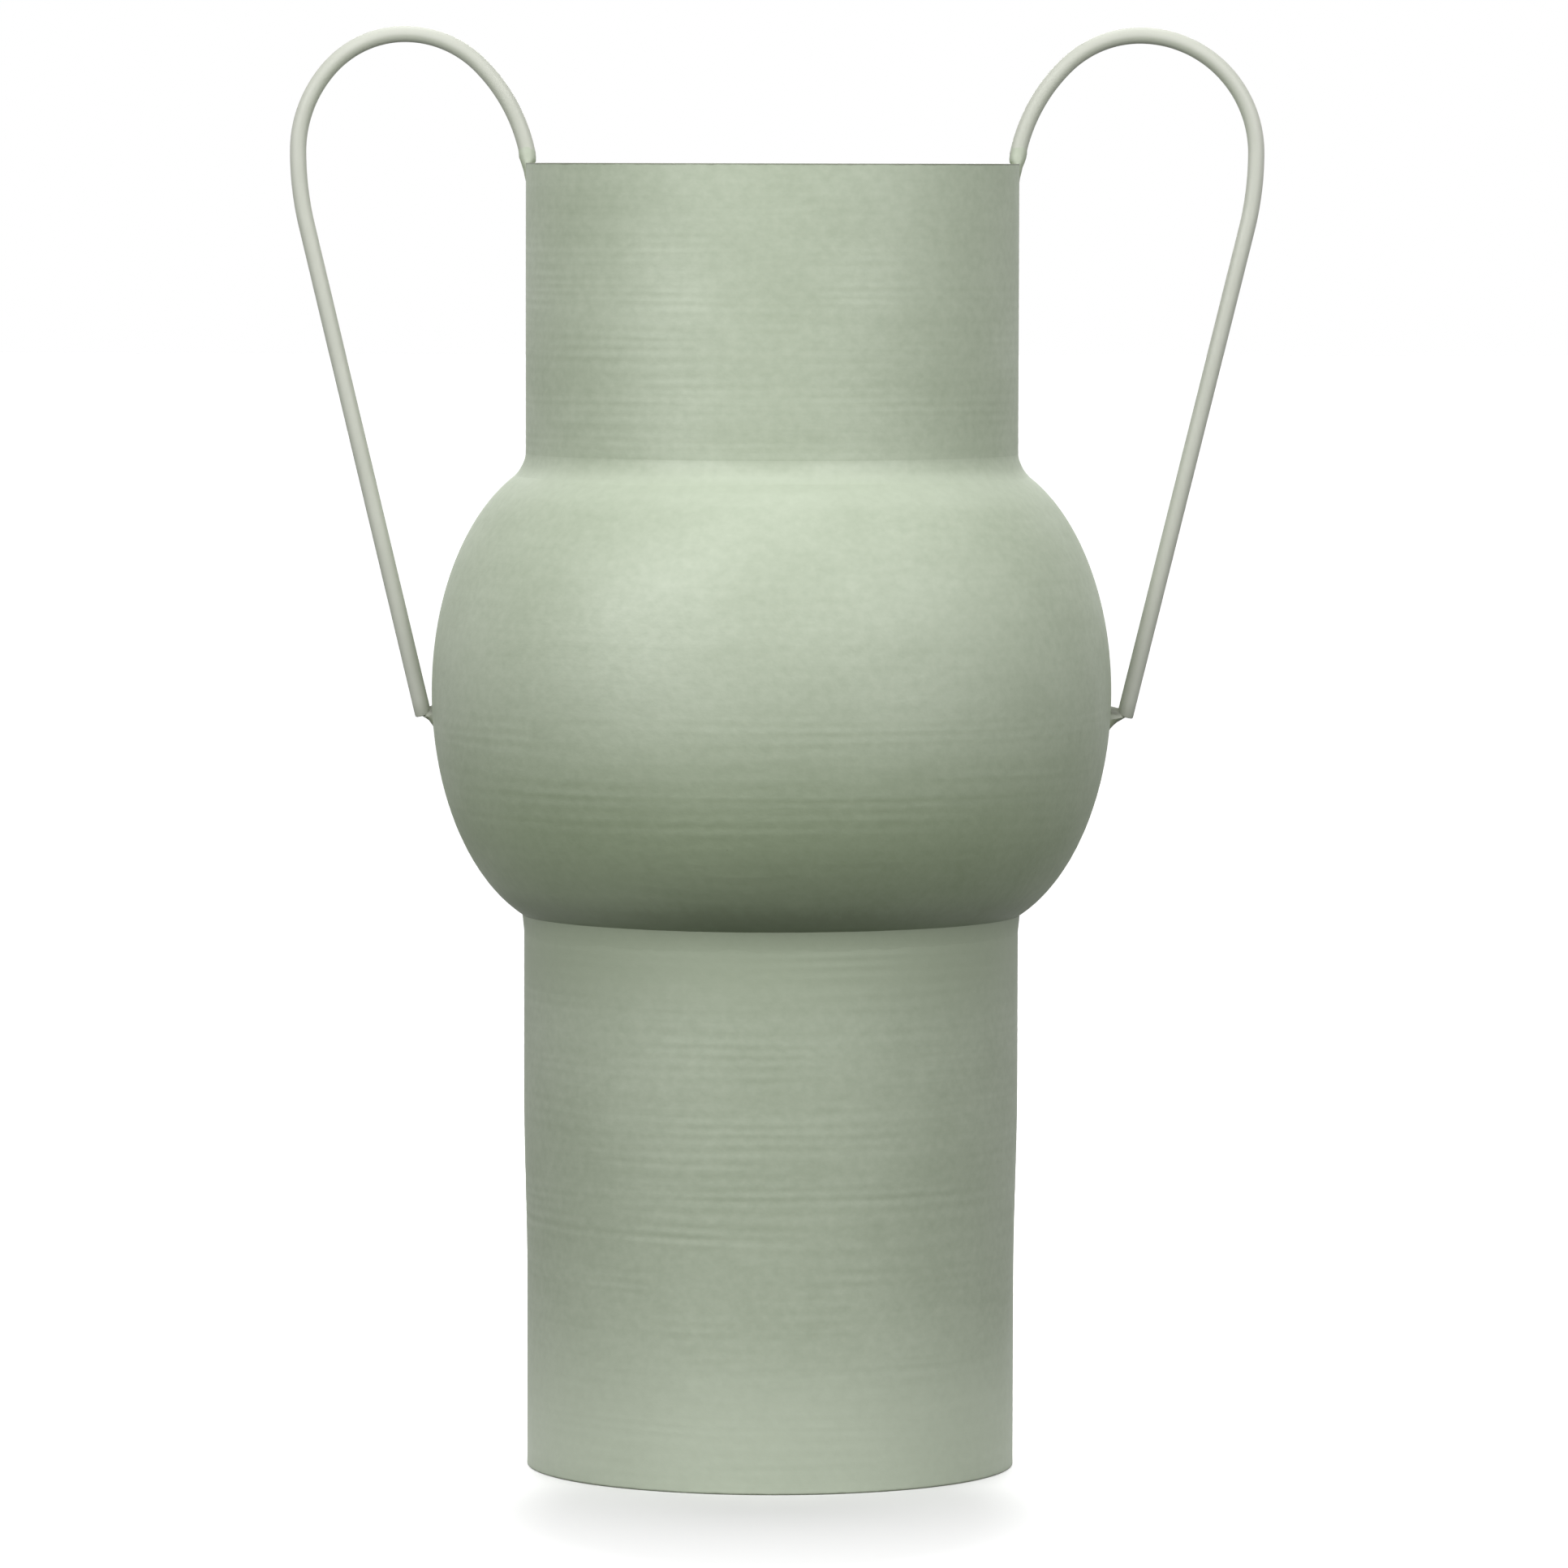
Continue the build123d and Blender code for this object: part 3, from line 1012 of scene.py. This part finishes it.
# lumpy rings of weld metal, from the top down
def lumpyStack(rings, look, seed):
    verts = []
    sides = look["sides"]
    for middle, height, along, across in rings:
        for k in range(sides):
            turn = 2 * math.pi * k / sides
            point = Vector((middle + along * math.cos(turn), across * math.sin(turn), height))
            push = look["lump"] * noise.noise(point / look["lumpPitch"] + Vector((seed, seed, seed)))
            x = point.x + push * math.cos(turn)
            y = point.y + push * math.sin(turn)
            verts.append((x, y, point.z + push * look["lumpLift"]))
    return verts, stackFaces(len(rings), sides)


def mirroredMesh(verts, faces):
    return [(-x, y, z) for x, y, z in verts], [list(face)[::-1] for face in faces]


def makeRimWelds(look):
    material = paintMaterial("rimWeldPaint", look["paint"])
    for name, side in hands.items():
        rings = [(neckRadius + a * mm, rim + b * mm, c * mm, d * mm) for a, b, c, d in look["rim"]]
        verts, faces = lumpyStack(rings, look, look["seed"] + side)
        if side < 0:
            verts, faces = mirroredMesh(verts, faces)
        newPiece(name + "RimWeld", verts, faces, material, name + "_rim_weld")


makeRimWelds(nuggetLook)


bellyNuggetLook = {
    "rows": 13,
    "steps": (8, 6, 5),  # down the belly, up to the tip and up the wire
    "width": 4.0 * mm,
    "rise": 2.8 * mm,
    "drop": 4.0 * mm,
    "sink": 0.5 * mm,  # below the belly's skin
    "lip": 0.2 * mm,
    "tipDrop": 0.1 * mm,  # the tip lies this far under the wire's end
    "fullness": 0.97,
    "sideShare": 0.35,  # rise and reach left at the sides
    "middleReach": 0.75,
    "hollow": 0.5 * mm,
    "hollowLift": 0.6,
    "lump": 0.14 * mm,
    "lumpPitch": 1.3 * mm,
    "seed": (3, 1),
    "paint": dict(
        bodyPaint, tone=(186, 190, 176), deep=(150, 155, 140), lines=0.0, tooth=0.5, specks=0.1,
        # painted shadow: a dark band at the top of the weld, in the gap between the wire and the belly
        edges=[(bellyMiddle - 4.2 * mm, 1.5 * mm, 1, (88, 92, 78), 0.85)],
    ),
}


# the weld's outline at a share of its half width: down the belly, then back up under the wire's end
def wedgeOutline(look, end, gap, u):
    wire = handleLook["wireRadius"]
    swell = math.sqrt(max(0.0, 1 - (look["fullness"] * u) ** 2))
    top = end.y + look["rise"] * (look["sideShare"] + (1 - look["sideShare"]) * swell)
    bottom = end.y - look["drop"] * swell - look["lip"]
    down, under, up = look["steps"]
    outline = []
    for i in range(down + 1):
        z = top + (bottom - top) * i / down
        outline.append((bellyRadiusAt(z, footTopRadius) - look["sink"], z))
    reach = gap + wire * (look["sideShare"] + look["middleReach"] * swell)
    tip = (end.x - wire - gap + reach, end.y - look["tipDrop"])
    low = outline[-1]
    for i in range(1, under):
        t = i / under
        bow = look["hollow"] * math.sin(math.pi * t) * swell
        x = low[0] + (tip[0] - low[0]) * t - bow
        outline.append((x, low[1] + (tip[1] - low[1]) * t + bow * look["hollowLift"]))
    outline.append(tip)
    high = outline[0][0] + look["sink"] + gap
    for i in range(1, up):
        t = i / up
        outline.append((tip[0] + (high - tip[0]) * t, tip[1] + (top - tip[1]) * t))
    return outline


# wedge of weld between a wire's end and the belly, thickest in the middle of its width
def makeBellyWelds(look):
    material = paintMaterial("bellyWeldPaint", look["paint"])
    for name, side in hands.items():
        end = legEnd(handleLook, handleLook[name])
        verts = []
        for row in range(look["rows"]):
            u = 2 * row / (look["rows"] - 1) - 1
            y = u * look["width"] / 2
            for x, z in wedgeOutline(look, end, handleLook[name]["legGap"], u):
                place = Vector((x, y, z)) / look["lumpPitch"]
                push = look["lump"] * noise.noise(place + Vector((side,) + look["seed"]))
                verts.append((x + push, y, z - push))
        faces = stackFaces(look["rows"], len(verts) // look["rows"])
        if side < 0:
            verts, faces = mirroredMesh(verts, faces)
        newPiece(name + "BellyWeld", verts, faces, material, name + "_belly_weld")


makeBellyWelds(bellyNuggetLook)
print("handle welds made")


# light and floor

lightLook = {
    "sky": 0.01,
    "suns": [  # strength, degrees above the floor, degrees round from the front, spread
        ("topLight", 1.55, 70, 180, 40),
        ("frontFill", 0.5, 65, 0, 40),
    ],
    "softboxes": [  # watts, degrees above the floor, degrees round from the front, distance, size
        ("leftBox", 5.2, 20, -40, 0.8, 0.7),
        ("rightBox", 4.5, 22, 40, 0.8, 0.7),
        ("backBox", 4.0, 20, 180, 0.9, 0.5),
    ],
    "aim": (0, 0, 0.3),
    "floorSize": 14,
    "floorTone": 0.82,
    "floorRoughness": 0.9,
    "nearBounce": 0.35,
    "farBounce": 0.03,
    "bounceReach": (0.08, 0.16),
    "contactShadowTone": 0.8,
    "contactShadowReach": 0.05,
    "shadowMiddle": (0, 0.1, 0),
    "shadowStretch": (1.6, 1, 1),
    "whiteFrom": (0.075, 0.17),
    "whiteLift": 0.6,
}


# from the vase towards a lamp, in degrees above the floor and round from the front
def direction(height, side):
    up = math.radians(height)
    turn = math.radians(side)
    return Vector((math.sin(turn) * math.cos(up), -math.cos(turn) * math.cos(up), math.sin(up)))


def placeLamp(name, lamp, towards, place):
    light = bpy.data.objects.new(name, lamp)
    scene.collection.objects.link(light)
    light.rotation_mode = "QUATERNION"
    light.rotation_quaternion = towards.to_track_quat("Z", "Y")
    light.location = place


def makeLamps(look):
    for name, strength, height, side, spread in look["suns"]:
        lamp = bpy.data.lights.new(name, "SUN")
        lamp.energy = strength
        lamp.angle = math.radians(spread)
        placeLamp(name, lamp, direction(height, side), direction(height, side) * 2)
    for name, watts, height, side, far, size in look["softboxes"]:
        lamp = bpy.data.lights.new(name, "AREA")
        lamp.shape = "DISK"
        lamp.energy = watts
        lamp.size = size
        placeLamp(name, lamp, direction(height, side), Vector(look["aim"]) + direction(height, side) * far)


def makeWorld(look):
    world = bpy.data.worlds.new("studio")
    scene.world = world
    world.use_nodes = True
    tree = world.node_tree
    # white to the camera and in the paint's faint reflections, dim as a light
    path = addNode(tree, "ShaderNodeLightPath", (-600, 300))
    seen = addNode(tree, "ShaderNodeMath", (-400, 300), operation="MAXIMUM")
    tree.links.new(path.outputs["Is Camera Ray"], seen.inputs[0])
    tree.links.new(path.outputs["Is Glossy Ray"], seen.inputs[1])
    back = tree.nodes["Background"]
    back.inputs["Color"].default_value = (1, 1, 1, 1)
    strength = addNode(tree, "ShaderNodeMapRange", (-200, 200))
    setInputs(strength, To_Min=look["sky"], To_Max=1.0)
    tree.links.new(seen.outputs[0], strength.inputs["Value"])
    tree.links.new(strength.outputs["Result"], back.inputs["Strength"])


def floorMaterial(look):
    material = bpy.data.materials.new("paleFloor")
    material.use_nodes = True
    tree = material.node_tree
    shader = tree.nodes["Principled BSDF"]
    shader.inputs["Roughness"].default_value = look["floorRoughness"]
    shader.inputs["Specular IOR Level"].default_value = 0.0
    # painted contact shadow: the floor's colour darkens a little where the foot stands on it
    contactShadow = addNode(tree, "ShaderNodeAmbientOcclusion", (-800, -100), samples=8)
    contactShadow.inputs["Distance"].default_value = look["contactShadowReach"]
    shade = addNode(tree, "ShaderNodeMix", (-420, -60), data_type="RGBA")
    shade.inputs[6].default_value = (look["contactShadowTone"],) * 3 + (1,)
    shade.inputs[7].default_value = (look["floorTone"],) * 3 + (1,)
    tree.links.new(contactShadow.outputs["AO"], shade.inputs["Factor"])
    tone = addNode(tree, "ShaderNodeMix", (-200, 200), data_type="RGBA")
    # it throws light up close to the foot only; painted light: it glows white to the camera and in
    # reflections away from the vase, washing out the lamps' shadows there and leaving the shadow in front of
    # the foot
    coords = addNode(tree, "ShaderNodeTexCoord", (-1200, 500))
    away = addNode(tree, "ShaderNodeVectorMath", (-1000, 500), operation="LENGTH")
    tree.links.new(coords.outputs["Object"], away.inputs[0])
    bounce = addNode(tree, "ShaderNodeMapRange", (-800, 620), interpolation_type="SMOOTHSTEP")
    setInputs(bounce, From_Min=look["bounceReach"][0], From_Max=look["bounceReach"][1])
    setInputs(bounce, To_Min=look["nearBounce"], To_Max=look["farBounce"])
    tree.links.new(away.outputs["Value"], bounce.inputs["Value"])
    tree.links.new(bounce.outputs["Result"], tone.inputs[6])
    moved = addNode(tree, "ShaderNodeMapping", (-1200, 300))
    moved.inputs["Location"].default_value = look["shadowMiddle"]
    moved.inputs["Scale"].default_value = look["shadowStretch"]
    tree.links.new(coords.outputs["Object"], moved.inputs["Vector"])
    fromShadow = addNode(tree, "ShaderNodeVectorMath", (-1000, 300), operation="LENGTH")
    tree.links.new(moved.outputs["Vector"], fromShadow.inputs[0])
    white = addNode(tree, "ShaderNodeMapRange", (-800, 400), interpolation_type="SMOOTHSTEP")
    setInputs(white, From_Min=look["whiteFrom"][0], From_Max=look["whiteFrom"][1], To_Max=look["whiteLift"])
    tree.links.new(fromShadow.outputs["Value"], white.inputs["Value"])
    tree.links.new(shade.outputs[2], tone.inputs[7])
    path = addNode(tree, "ShaderNodeLightPath", (-800, 200))
    tree.links.new(path.outputs["Is Camera Ray"], tone.inputs["Factor"])
    lift = addNode(tree, "ShaderNodeMath", (-200, -100), operation="MULTIPLY")
    shown = addNode(tree, "ShaderNodeMath", (-400, -260), operation="MAXIMUM")
    tree.links.new(path.outputs["Is Camera Ray"], shown.inputs[0])
    tree.links.new(path.outputs["Is Glossy Ray"], shown.inputs[1])
    tree.links.new(shown.outputs[0], lift.inputs[0])
    tree.links.new(white.outputs["Result"], lift.inputs[1])
    tree.links.new(lift.outputs[0], shader.inputs["Emission Color"])
    shader.inputs["Emission Strength"].default_value = 1.0
    tree.links.new(tone.outputs[2], shader.inputs["Base Color"])
    return material


def makeFloor(look):
    size = look["floorSize"]
    corners = [(-size, -size, 0), (size, -size, 0), (size, size, 0), (-size, size, 0)]
    mesh = bpy.data.meshes.new("floor")
    mesh.from_pydata(corners, [], [(0, 1, 2, 3)])
    mesh.materials.append(floorMaterial(look))
    floor = bpy.data.objects.new("floor", mesh)
    scene.collection.objects.link(floor)


makeLamps(lightLook)
makeWorld(lightLook)
makeFloor(lightLook)
print("studio made")
